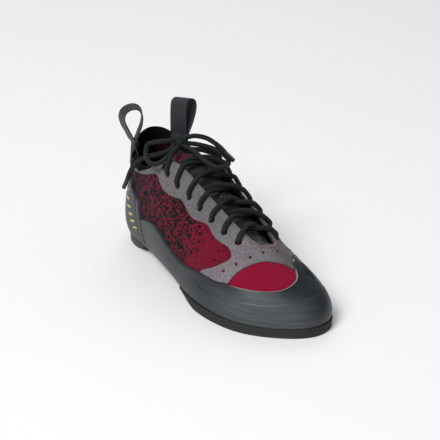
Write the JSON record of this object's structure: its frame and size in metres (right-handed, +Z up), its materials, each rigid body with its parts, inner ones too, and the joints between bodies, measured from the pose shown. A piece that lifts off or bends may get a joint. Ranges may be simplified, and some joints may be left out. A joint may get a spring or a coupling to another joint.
{
  "type": "climbing shoe",
  "caption": "Low lace-up climbing shoe for the right foot: hollow knit upper, overlay, rubber rand and heel, forefoot and heel soles, tongue, laces and two pull loops.",
  "frame": {"origin": "on the floor under the ball of the foot, on the flat underside of the forefoot outsole", "axes": "+X to the toe, +Y to the big toe's side, +Z up"},
  "size_m": [0.2463, 0.0889, 0.1231],
  "materials": {
    "knit": "dense rib knit, crimson with black",
    "microfibre": "matt sueded microfibre",
    "black_knit": "ribbed stretch knit",
    "webbing": "woven tape",
    "lining": "brushed lining",
    "rand_rubber": "satin dark blue-grey rubber",
    "sole_rubber": "matt climbing rubber",
    "lace": "round braided lace",
    "lace_tip": "hard lace tip"
  },
  "bodies": {
    "root": {"upper": "knit", "eyestay": "microfibre", "collar_binding": "black_knit", "tongue": "black_knit", "lace_keeper": "webbing", "insole": "lining", "rand": "rand_rubber", "toe_rubber": "rand_rubber", "heel_rubber": "rand_rubber", "outsole": "sole_rubber", "heel_sole": "sole_rubber", "pull_loop_outer": "webbing", "pull_loop_inner": "webbing", "lace_cross_1": "lace", "lace_cross_2": "lace", "lace_cross_3": "lace", "lace_cross_4": "lace", "lace_cross_5": "lace", "lace_cross_6": "lace", "lace_tie": "lace", "lace_knot": "lace", "lace_loop_outer": "lace", "lace_loop_inner": "lace", "lace_end_outer": "lace", "lace_end_inner": "lace", "lace_tip_outer": "lace_tip", "lace_tip_inner": "lace_tip"}
  },
  "joints": []
}
